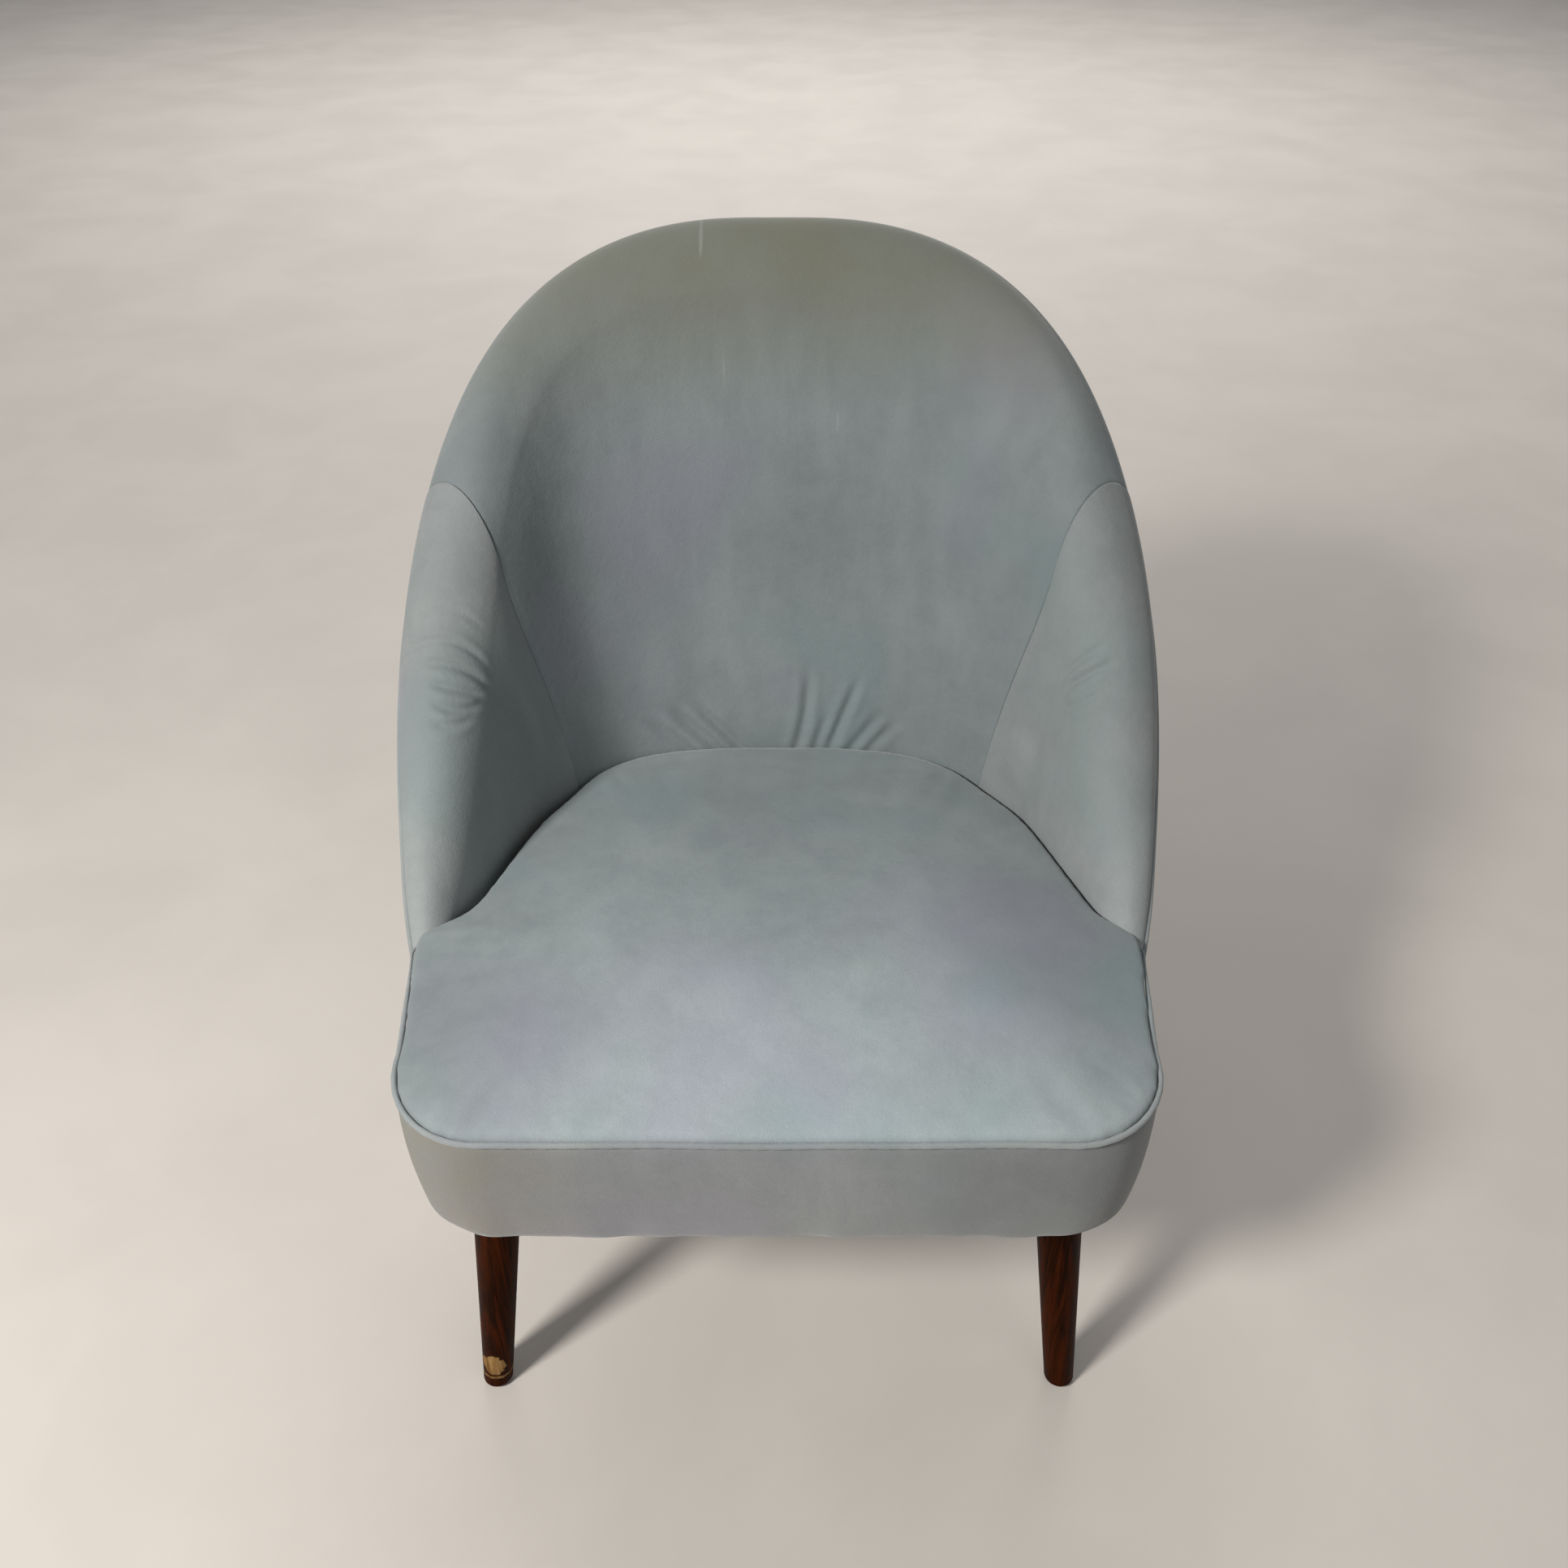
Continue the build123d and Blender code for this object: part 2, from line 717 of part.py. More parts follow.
# Dust cover under the base, with its staples
dust_top = ring_bottom - gap
dust_bottom = dust_top - dust_cover_thickness
with BuildPart() as dust_cover:
    with BuildSketch(Plane.XY.offset(dust_bottom)):
        make_face(base_edge(dust_cover_set_in).edges())
    extrude(amount=dust_cover_thickness)
    drill(leg_tops, leg_top_diameter + 2 * leg_hole_play, dust_bottom, dust_cover_thickness)
finished(dust_cover, "dust_cover")

staple_line = base_edge(dust_cover_set_in + staple_set_in).wires()[0]
staple_count = int(staple_line.length / staple_spacing)
with BuildPart() as cover_staples:
    with BuildSketch(Plane.XY.offset(dust_bottom - staple_wire)):
        for i in range(staple_count):
            share = (i + 0.5) / staple_count
            spot = staple_line @ share
            with Locations((spot.X, spot.Y)):
                Rectangle(staple_length, staple_wire, rotation=staple_line.tangent_angle_at(share))
    extrude(amount=staple_wire)
finished(cover_staples, "cover_staples")
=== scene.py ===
import json
import math

import bmesh
import bpy
import numpy as np
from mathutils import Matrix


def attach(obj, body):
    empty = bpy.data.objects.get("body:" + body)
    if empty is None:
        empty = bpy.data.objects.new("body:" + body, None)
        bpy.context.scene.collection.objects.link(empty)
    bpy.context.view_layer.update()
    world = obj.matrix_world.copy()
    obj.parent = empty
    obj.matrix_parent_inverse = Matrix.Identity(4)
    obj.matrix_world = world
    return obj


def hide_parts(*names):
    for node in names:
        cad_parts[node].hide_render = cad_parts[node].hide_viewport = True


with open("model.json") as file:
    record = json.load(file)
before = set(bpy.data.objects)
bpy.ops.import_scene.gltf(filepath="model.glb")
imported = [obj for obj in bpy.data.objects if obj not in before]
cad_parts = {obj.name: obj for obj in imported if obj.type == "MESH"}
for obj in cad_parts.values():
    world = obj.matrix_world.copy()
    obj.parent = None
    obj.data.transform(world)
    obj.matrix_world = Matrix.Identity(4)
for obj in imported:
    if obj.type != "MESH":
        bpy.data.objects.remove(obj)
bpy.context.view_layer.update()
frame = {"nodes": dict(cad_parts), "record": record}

# Sizes of the chair, in metres and degrees
HEIGHT = 0.862
DEPTH = 0.640
SEAM_Z = 0.400  # top edge of the seat border
BASE_Z = 0.287  # underside of the base ring
RING_TOP = 0.309
RAIL_TOP = 0.347
HALF = 0.291  # half the width of the back shell at its base
ROUND = 0.270  # depth of the shell's rounded part
SQUARE = 2.75  # power of the superellipse that is the shell's plan
LEAN_BACK = math.radians(12)
LEAN_SIDE = math.radians(7.6)
THICK = 0.066
TIP_THICK = 0.022  # thickness at the arm tips
TAPER = 0.175  # length over which the arms thin out
FILL = 0.015  # extra padding at the shoulders
FILL_ANGLE = 52.0
FILL_SPREAD = 20.0
BROW = 0.013  # lift of the arch beside its top
BROW_ANGLE = 45.0
BROW_SPREAD = 18.0
REACH = 0.060  # straight part of the arms, ahead of the rounded part
TIP_TURN = 0.006
TIP_Z = 0.390
SEAM_ANGLE = 50.0  # sewn line between the back and a wing
COVER = 0.0018  # thickness of the cloth
WELT = 0.0022  # radius of the piping
SEAT_HALF = 0.283
SEAT_RADIUS = 0.075
TUCK = 0.0025
FRONT = -DEPTH / 2 + WELT

# Sizes that follow from them
ROLL = (THICK + FILL * math.exp(-((FILL_ANGLE / FILL_SPREAD) ** 2))) / 2
TOP_RISE = (HEIGHT - BASE_Z - ROLL * math.sin(LEAN_BACK)) / math.cos(LEAN_BACK)
REAR = DEPTH / 2 - (TOP_RISE - ROLL) * math.sin(LEAN_BACK) - ROLL * (1 - math.cos(LEAN_BACK))
MIDDLE = REAR - ROUND
TIP_Y = MIDDLE - REACH
TOP_Y = REAR + TOP_RISE * math.sin(LEAN_BACK) - ROLL * math.cos(LEAN_BACK)
SLOPE = (HEIGHT - TIP_Z) / (TOP_Y - TIP_Y)


class Shell:
    """The back shell at stations round its plan: an angle from the middle, then a distance forward."""

    def __init__(self, angle, forward):
        angle = np.asarray(angle, float)
        forward = np.asarray(forward, float)
        turn = np.radians(angle)
        side = np.where(angle >= 0, 1.0, -1.0)
        along = np.abs(np.sin(turn)) ** (2 / SQUARE)
        back = np.maximum(np.cos(turn), 0) ** (2 / SQUARE)
        self.x = side * (HALF * along - TIP_TURN * (forward / REACH) ** 2)
        self.y = MIDDLE + ROUND * back - forward
        out_x = side * along ** (SQUARE - 1) / HALF
        out_y = back ** (SQUARE - 1) / ROUND
        size = np.hypot(out_x, out_y)
        self.out_x, self.out_y = out_x / size, out_y / size
        self.lean = LEAN_SIDE + (LEAN_BACK - LEAN_SIDE) * self.out_y
        share = np.minimum((self.y - TIP_Y) / TAPER, 1)
        full = THICK + FILL * np.exp(-(((np.abs(angle) - FILL_ANGLE) / FILL_SPREAD) ** 2))
        self.thick = TIP_THICK + (full - TIP_THICK) * np.sin(np.pi / 2 * share)
        radius = self.thick / 2
        start = TIP_Z - BASE_Z - radius * np.sin(self.lean)
        start += SLOPE * (self.y - self.out_y * radius * np.cos(self.lean) - TIP_Y)
        self.rise = start / (np.cos(self.lean) - SLOPE * self.out_y * np.sin(self.lean)) - radius
        self.rise += BROW * np.exp(-(((np.abs(angle) - BROW_ANGLE) / BROW_SPREAD) ** 2))

    def at(self, depth, rise):
        """Points so deep under the outer face and so far up the lean, one row for each station."""
        out = rise * np.sin(self.lean) - depth * np.cos(self.lean)
        up = rise * np.cos(self.lean) + depth * np.sin(self.lean)
        return np.stack([self.x + out * self.out_x, self.y + out * self.out_y, BASE_Z + up], -1)

    def rise_at(self, depth, height):
        return (height - BASE_Z - depth * np.sin(self.lean)) / np.cos(self.lean)


def smooth(low, high, value):
    t = np.clip((value - low) / (high - low), 0, 1)
    return t * t * (3 - 2 * t)


def mesh_object(name, points, faces):
    mesh = bpy.data.meshes.new(name)
    mesh.from_pydata([tuple(p) for p in points], [], faces)
    mesh.validate()
    mesh.update()
    obj = bpy.data.objects.new(name, mesh)
    bpy.context.collection.objects.link(obj)
    for poly in mesh.polygons:
        poly.use_smooth = True
    return obj


def loop_grid(name, grid):
    """Closed tube from rows of points: each row is a closed loop."""
    rows, cols = grid.shape[:2]
    faces = []
    for i in range(rows - 1):
        for j in range(cols):
            k = (j + 1) % cols
            faces.append((i * cols + j, i * cols + k, (i + 1) * cols + k, (i + 1) * cols + j))
    faces.append(tuple(range(cols - 1, -1, -1)))
    faces.append(tuple((rows - 1) * cols + j for j in range(cols)))
    return mesh_object(name, grid.reshape(-1, 3), faces)


def outward(obj):
    """Turns all the faces outwards."""
    work = bmesh.new()
    work.from_mesh(obj.data)
    bmesh.ops.recalc_face_normals(work, faces=work.faces)
    work.to_mesh(obj.data)
    work.free()


def positions(obj):
    flat = np.empty(len(obj.data.vertices) * 3)
    obj.data.vertices.foreach_get("co", flat)
    return flat.reshape(-1, 3)


def move_to(obj, points):
    obj.data.vertices.foreach_set("co", points.astype(np.float32).ravel())
    obj.data.update()


def normals(obj):
    flat = np.empty(len(obj.data.vertices) * 3)
    obj.data.vertices.foreach_get("normal", flat)
    return flat.reshape(-1, 3)


def eased(step, shape, passes):
    """Evens out a field of movements over a grid of points."""
    grid = step.reshape(*shape, 3)
    for _ in range(passes):
        for axis in (0, 1):
            place = np.arange(shape[axis])
            before = grid.take(np.maximum(place - 1, 0), axis)
            after = grid.take(np.minimum(place + 1, place[-1]), axis)
            grid = 0.25 * before + 0.5 * grid + 0.25 * after
    return grid.reshape(-1, 3)


CLOTH_STEPS = 12
PRESSURE = 4.0


def inflate(obj, held, cap, shape=None, passes=0):
    """Swells a padded piece as cloth under pressure, by no more than the cap.

    Held points stay where they are sewn. A piece that is a grid gives its shape, and its swelling is
    evened out over it in passes.
    """
    rest = positions(obj)
    group = obj.vertex_groups.new(name="sewn")
    group.add([int(i) for i in np.nonzero(held)[0]], 1.0, "REPLACE")
    cloth = obj.modifiers.new("swell", "CLOTH")
    settings = cloth.settings
    settings.quality = 4
    settings.mass = 0.3
    settings.tension_stiffness = 18
    settings.compression_stiffness = 18
    settings.shear_stiffness = 6
    settings.bending_stiffness = 1.5
    settings.use_pressure = True
    settings.uniform_pressure_force = PRESSURE
    settings.vertex_group_mass = "sewn"
    settings.effector_weights.gravity = 0
    cloth.collision_settings.use_collision = False
    cloth.point_cache.frame_start = 1
    cloth.point_cache.frame_end = CLOTH_STEPS
    scene = bpy.context.scene
    for step in range(1, CLOTH_STEPS + 1):
        scene.frame_set(step)
    seen = obj.evaluated_get(bpy.context.evaluated_depsgraph_get())
    swollen = positions(seen)
    obj.modifiers.remove(cloth)
    scene.frame_set(1)
    step = swollen - rest
    length = np.linalg.norm(step, axis=1, keepdims=True)
    step *= np.minimum(1, cap / np.maximum(length, 1e-9))
    if shape:
        step = eased(step, shape, passes)
    move_to(obj, rest + step)


def subdivide(obj):
    sub = obj.modifiers.new("fine", "SUBSURF")
    sub.levels = 1
    sub.render_levels = 1


def tube(name, path, radius, sides=12):
    """Round tube along a line of points."""
    ahead = np.gradient(path, axis=0)
    ahead /= np.linalg.norm(ahead, axis=1, keepdims=True)
    up = np.array([0.0, 0.0, 1.0])
    across = np.cross(ahead, up)
    across /= np.maximum(np.linalg.norm(across, axis=1, keepdims=True), 1e-9)
    over = np.cross(across, ahead)
    turn = np.linspace(0, 2 * np.pi, sides, endpoint=False)
    ring = across[:, None] * np.cos(turn)[None, :, None] + over[:, None] * np.sin(turn)[None, :, None]
    radius = np.broadcast_to(np.asarray(radius, float), (len(path),))
    obj = loop_grid(name, path[:, None] + ring * radius[:, None, None])
    outward(obj)
    return obj


# Materials


class Nodes:
    """Short way of adding and joining the nodes of one material."""

    def __init__(self, name):
        self.material = bpy.data.materials.new(name)
        self.material.use_nodes = True
        self.tree = self.material.node_tree
        self.shader = self.tree.nodes["Principled BSDF"]
        self.place = self.tree.nodes.new("ShaderNodeNewGeometry").outputs["Position"]

    def join(self, source, target):
        self.tree.links.new(source, target)

    def scaled(self, size, turn=(0, 0, 0)):
        node = self.tree.nodes.new("ShaderNodeMapping")
        node.inputs["Scale"].default_value = size
        node.inputs["Rotation"].default_value = turn
        self.join(self.place, node.inputs["Vector"])
        return node.outputs["Vector"]

    def noise(self, scale, detail=3.0, rough=0.5, vector=None, warp=0.0):
        node = self.tree.nodes.new("ShaderNodeTexNoise")
        node.inputs["Scale"].default_value = scale
        node.inputs["Detail"].default_value = detail
        node.inputs["Roughness"].default_value = rough
        node.inputs["Distortion"].default_value = warp
        self.join(vector or self.place, node.inputs["Vector"])
        return node.outputs["Fac"]

    def ramp(self, source, low, high, start=0.0, end=1.0):
        node = self.tree.nodes.new("ShaderNodeMapRange")
        node.interpolation_type = "SMOOTHSTEP"
        node.inputs["From Min"].default_value = low
        node.inputs["From Max"].default_value = high
        node.inputs["To Min"].default_value = start
        node.inputs["To Max"].default_value = end
        self.join(source, node.inputs["Value"])
        return node.outputs["Result"]

    def maths(self, kind, first, second):
        node = self.tree.nodes.new("ShaderNodeMath")
        node.operation = kind
        for socket, value in zip(node.inputs, (first, second)):
            if isinstance(value, (int, float)):
                socket.default_value = value
            else:
                self.join(value, socket)
        return node.outputs["Value"]

    def mix(self, share, first, second):
        node = self.tree.nodes.new("ShaderNodeMix")
        node.data_type = "RGBA"
        sockets = {"Factor": share, "A": first, "B": second}
        for socket in node.inputs:
            if socket.enabled and socket.name in sockets:
                value = sockets[socket.name]
                if isinstance(value, tuple):
                    socket.default_value = (*value, 1.0)
                elif isinstance(value, (int, float)):
                    socket.default_value = value
                else:
                    self.join(value, socket)
        return next(s for s in node.outputs if s.enabled)

    def distance(self, centre):
        node = self.tree.nodes.new("ShaderNodeVectorMath")
        node.operation = "DISTANCE"
        self.join(self.place, node.inputs[0])
        node.inputs[1].default_value = centre
        return node.outputs["Value"]

    def near(self, centre, low, high):
        """1 close to a point and 0 beyond a distance."""
        return self.ramp(self.distance(centre), low, high, 1.0, 0.0)

    def mark(self, x, z, wide, tall):
        """1 in a short upright streak of the front view and 0 round it."""
        across = self.maths("DIVIDE", self.maths("SUBTRACT", self.axis("X"), x), wide)
        up = self.maths("DIVIDE", self.maths("SUBTRACT", self.axis("Z"), z), tall)
        far = self.maths("ADD", self.maths("POWER", across, 2.0), self.maths("POWER", up, 2.0))
        return self.ramp(far, 0.0, 1.0, 1.0, 0.0)

    def brighter(self, colour, factor):
        node = self.tree.nodes.new("ShaderNodeVectorMath")
        node.operation = "SCALE"
        self.join(colour, node.inputs[0])
        self.join(factor, node.inputs["Scale"])
        return node.outputs["Vector"]

    def axis(self, name):
        node = self.tree.nodes.new("ShaderNodeSeparateXYZ")
        self.join(self.place, node.inputs["Vector"])
        return node.outputs[name]

    def bump(self, source, distance, strength=1.0):
        node = self.tree.nodes.new("ShaderNodeBump")
        node.inputs["Distance"].default_value = distance
        node.inputs["Strength"].default_value = strength
        self.join(source, node.inputs["Height"])
        self.join(node.outputs["Normal"], self.shader.inputs["Normal"])

    def finish(self, colour, rough, metal=0.0):
        self.shader.inputs["Metallic"].default_value = metal
        if isinstance(rough, float):
            self.shader.inputs["Roughness"].default_value = rough
        else:
            self.join(rough, self.shader.inputs["Roughness"])
        self.join(colour, self.shader.inputs["Base Color"])
        return self.material


def linear(r, g, b):
    out = []
    for v in (r, g, b):
        v /= 255
        out.append(v / 12.92 if v <= 0.04045 else ((v + 0.055) / 1.055) ** 2.4)
    return tuple(out)


STAIN_AT = (-0.262, -0.305, 0.345)


def velvet(name, tint=(1.0, 1.0, 1.0), front_light=1.0, stained=False, marks=(), painted_shading=()):
    """Worn grey velvet: brushed pile, fine nap, yellowing and painted shade at the top, pale scuffs and
    painted shade patches.

    The tint gives each piece its hue and also painted shade, which keeps the back darker than the seat, and
    front_light is painted light that brightens the front edge. A mark is an x, a z, a width, a height and a
    strength.
    A patch of painted shade is a place, a radius and a strength, and a negative strength paints light
    instead.
    """

    def tone(*rgb):
        return tuple(t * v for t, v in zip(tint, linear(*rgb)))

    n = Nodes(name)
    patches = n.ramp(n.noise(6.0, 4.0, 0.55, warp=0.5), 0.34, 0.68)
    brushed = n.ramp(n.noise(1.0, 5.0, 0.62, vector=n.scaled((34, 34, 6), (0.15, 0.1, 0))), 0.36, 0.66)
    colour = n.mix(patches, tone(131, 135, 133), tone(144, 148, 145))
    colour = n.mix(n.maths("MULTIPLY", brushed, 0.5), colour, tone(125, 130, 129))
    mottle = n.ramp(n.noise(30.0, 5.0, 0.7, warp=0.4), 0.36, 0.66)
    colour = n.mix(n.maths("MULTIPLY", mottle, 0.3), colour, tone(148, 152, 150))
    purple = n.ramp(n.noise(4.3, 2.0, 0.5, vector=n.scaled((1, 1, 1), (0.7, 0.4, 1.1))), 0.48, 0.68)
    colour = n.mix(n.maths("MULTIPLY", purple, 0.45), colour, tone(140, 134, 144))
    green = n.ramp(n.noise(5.1, 2.0, 0.5, vector=n.scaled((1, 1, 1), (1.4, 0.2, 0.6))), 0.52, 0.70)
    colour = n.mix(n.maths("MULTIPLY", green, 0.5), colour, tone(124, 139, 137))
    worn = n.noise(11.0, 4.0, 0.6)
    # Yellowed and darker at the top of the back: the yellow is real fading, and the darkening is painted
    # shade.
    top = n.maths("MULTIPLY", n.ramp(n.axis("Z"), 0.70, 0.85), n.ramp(worn, 0.3, 0.7, 0.75, 0.95))
    colour = n.mix(top, colour, tone(124, 120, 102))
    if stained:
        blot = n.near(STAIN_AT, 0.02, 0.16)
        stain = n.maths("MULTIPLY", blot, n.ramp(worn, 0.34, 0.6, 0.3, 0.8))
        colour = n.mix(stain, colour, tone(142, 137, 119))
    for x, z, wide, tall, share in marks:
        colour = n.mix(n.maths("MULTIPLY", n.mark(x, z, wide, tall), share), colour, tone(196, 196, 190))
    # Painted light: the colour is brightened towards the front edge, by front_light.
    colour = n.brighter(colour, n.ramp(n.axis("Y"), -0.30, 0.06, front_light, 1.0))
    # Patches of painted shade, and of painted light where the strength is negative.
    for place, radius, share in painted_shading:
        shade = n.maths("MULTIPLY", n.near(place, 0.0, radius), share)
        colour = n.brighter(colour, n.maths("SUBTRACT", 1.0, shade))
    nap = n.noise(900.0, 2.0, 0.6)
    colour = n.mix(n.ramp(nap, 0.3, 0.7, 0.0, 0.16), colour, tone(112, 117, 115))
    n.shader.inputs["Sheen Weight"].default_value = 0.35
    n.shader.inputs["Sheen Roughness"].default_value = 0.45
    n.shader.inputs["Sheen Tint"].default_value = (0.88, 0.88, 0.87, 1.0)
    n.shader.inputs["Specular IOR Level"].default_value = 0.10
    n.bump(n.maths("ADD", nap, n.maths("MULTIPLY", n.noise(140.0, 3.0, 0.5), 1.2)), 0.0006, 0.5)
    return n.finish(colour, n.ramp(patches, 0.0, 1.0, 0.84, 0.94))


def dark_wood(name, chip=None):
    """Dark polished mahogany with its grain along the leg, and a chip in its finish at the place given."""
    n = Nodes(name)
    grain = n.noise(1.0, 6.0, 0.65, vector=n.scaled((170, 170, 7)), warp=0.8)
    pores = n.noise(1.0, 3.0, 0.6, vector=n.scaled((900, 900, 40)))
    colour = n.mix(n.ramp(grain, 0.34, 0.68), linear(22, 6, 1), linear(58, 22, 3))
    colour = n.mix(n.ramp(pores, 0.56, 0.72, 0.0, 0.55), colour, linear(10, 3, 1))
    rough = n.ramp(grain, 0.3, 0.7, 0.36, 0.5)
    if chip:
        ragged = n.maths("MULTIPLY", n.noise(130.0, 4.0, 0.65), 0.016)
        bare = n.ramp(n.maths("ADD", n.distance(chip), ragged), 0.0205, 0.0225, 1.0, 0.0)
        band = n.maths("SUBTRACT", n.axis("Z"), n.maths("MULTIPLY", n.noise(90.0, 3.0, 0.6), 0.008))
        ring = n.maths("MULTIPLY", n.ramp(band, 0.011, 0.013), n.ramp(band, 0.0145, 0.0165, 1.0, 0.0))
        bare = n.maths("MAXIMUM", bare, n.maths("MULTIPLY", ring, 0.8))
        wood = n.mix(n.ramp(grain, 0.35, 0.65), linear(150, 118, 76), linear(96, 68, 36))
        colour = n.mix(bare, colour, wood)
        rough = n.maths("MAXIMUM", rough, n.maths("MULTIPLY", bare, 0.75))
    n.shader.inputs["Coat Weight"].default_value = 0.02
    n.shader.inputs["Specular IOR Level"].default_value = 0.015
    n.shader.inputs["Specular Tint"].default_value = (1.0, 0.45, 0.16, 1.0)
    n.shader.inputs["Coat Tint"].default_value = (1.0, 0.75, 0.5, 1.0)
    n.shader.inputs["Coat Roughness"].default_value = 0.22
    n.bump(n.maths("ADD", grain, pores), 0.0004, 0.4)
    return n.finish(colour, rough)


def plain(name, first, second, scale, rough, metal=0.0, stretch=(1, 1, 1), depth=0.0004):
    """Two-tone material with grain, for parts that hardly show."""
    n = Nodes(name)
    grain = n.noise(scale, 5.0, 0.6, vector=n.scaled(stretch), warp=0.3)
    colour = n.mix(n.ramp(grain, 0.32, 0.68), first, second)
    n.bump(grain, depth, 0.4)
    uneven = n.ramp(grain, 0.3, 0.7, max(rough - 0.08, 0.05), min(rough + 0.08, 1.0))
    return n.finish(colour, uneven, metal)


scuffs = (
    (-0.065, 0.848, 0.0022, 0.016, 0.22),
    (-0.047, 0.748, 0.0014, 0.022, 0.10),
    (0.052, 0.705, 0.0014, 0.012, 0.16),
)
# Each tint below sets a hue and a brightness; the brightness is painted shade that keeps the back darker
# than the other pieces. A front_light above 1 is painted light on the front edges of the wings, the outer
# covers and the seat.
cloth_mat = velvet("velvet", (0.85, 0.85, 0.87), 1.5)
# Painted light at the foot of the back, as the strength is negative.
back_painted_light = (((0.0, 0.16, 0.43), 0.22, -0.14),)
back_mat = velvet("velvet_back", (0.69, 0.73, 0.76), marks=scuffs, painted_shading=back_painted_light)
# Painted shade on the seat beside the arm tips, and a little in its middle.
seat_painted_shade = (
    ((-0.28, -0.22, 0.41), 0.24, 0.42),
    ((0.27, -0.18, 0.41), 0.26, 0.30),
    ((0.0, -0.11, 0.42), 0.16, 0.07),
)
seat_mat = velvet("velvet_seat", (0.85, 0.90, 0.95), 1.48, painted_shading=seat_painted_shade)
# Painted shade on the seat border, stronger on the right.
border_painted_shade = (((0.27, -0.31, 0.34), 0.30, 0.34), ((-0.27, -0.31, 0.34), 0.30, 0.16))
border_mat = velvet("velvet_border", (0.89, 0.87, 0.90), stained=True, painted_shading=border_painted_shade)
piping_mat = velvet("velvet_piping", (0.96, 0.97, 1.0))
slot_mats = {
    "velvet": cloth_mat,
    "velvet_piping": piping_mat,
    "leg_wood": dark_wood("leg_wood"),
    "frame_wood": plain(
        "frame_wood", linear(176, 142, 98), linear(206, 174, 128), 30, 0.7, stretch=(3, 3, 0.6)
    ),
    "plywood": plain(
        "plywood", linear(188, 156, 112), linear(214, 186, 142), 24, 0.65, stretch=(1, 4, 8)
    ),
    "foam": plain("foam", linear(228, 218, 178), linear(240, 232, 200), 260, 0.95),
    "felt": plain("felt", linear(84, 82, 80), linear(120, 116, 112), 180, 0.95),
    "webbing": plain("webbing", linear(48, 42, 36), linear(78, 70, 60), 420, 0.85),
    "dust_cloth": plain("dust_cloth", linear(18, 18, 19), linear(36, 36, 38), 520, 0.9),
    "spring_steel": plain("spring_steel", linear(96, 98, 102), linear(140, 142, 146), 90, 0.35, 1.0),
    "zinc_steel": plain("zinc_steel", linear(168, 168, 164), linear(204, 204, 200), 120, 0.3, 1.0),
    "glide_plastic": plain("glide_plastic", linear(20, 20, 20), linear(38, 38, 38), 150, 0.5),
}
slot_by_node = {s["node"]: s["material_slot"] for s in frame["record"]["subparts"]}
for node_name, node in frame["nodes"].items():
    node.data.materials.clear()
    node.data.materials.append(slot_mats[slot_by_node[node_name]])
chip_at = (-0.2545, -0.2775, 0.036)
frame["nodes"]["leg_front_left"].data.materials[0] = dark_wood("leg_wood_chipped", chip_at)


def dress(obj, material, slot, *nodes):
    """Gives a new piece its finish, its body and the parts it stands for."""
    obj.data.materials.append(material)
    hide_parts(*nodes)
    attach(obj, "root")


# Padded inside of the back and wings
CORE = 0.0284  # depth of the padding's hidden side under the outer face
LOW = RING_TOP + 0.002
STRAIGHT = 78  # columns of points up the flat inside, then over the inner and the outer half of the roll
INNER_TURN = 30
OUTER_TURN = 18
SEAM_BACK = 4.0  # degrees from the sewn line's mean place to its foot, and from its foot to its top
SEAM_SWEEP = 8.5
LAP = 0.35  # degrees by which the back runs under the wings
BACK_INSET = 0.0013
WING_INSET = 0.0004
BACK_SWELL = 0.006  # most that the padding may swell
WING_SWELL = 0.008
SEAT_SWELL = 0.012
SEWN_Z = 0.385  # the padding is held below this height, where the seat hides it
SEAM_GROOVE = (0.005, 0.0004)  # width and depth where a cover is drawn in at a seam
EDGE_GROOVE = (0.008, 0.0016)
TIP_ROUND = 0.010
TIP_BLUNT = 0.6


def groove(distance, width, depth):
    """How far a cover is drawn in near a sewn edge."""
    t = np.clip(1 - distance / width, 0, 1)
    return depth * (1 - np.sqrt(np.maximum(1 - t * t, 0)))


def seam_at(t):
    """Angle of the sewn line between the back and a wing, from the seat up to the rolled edge."""
    return SEAM_ANGLE - SEAM_BACK + SEAM_SWEEP * smooth(0.2, 1.0, t)


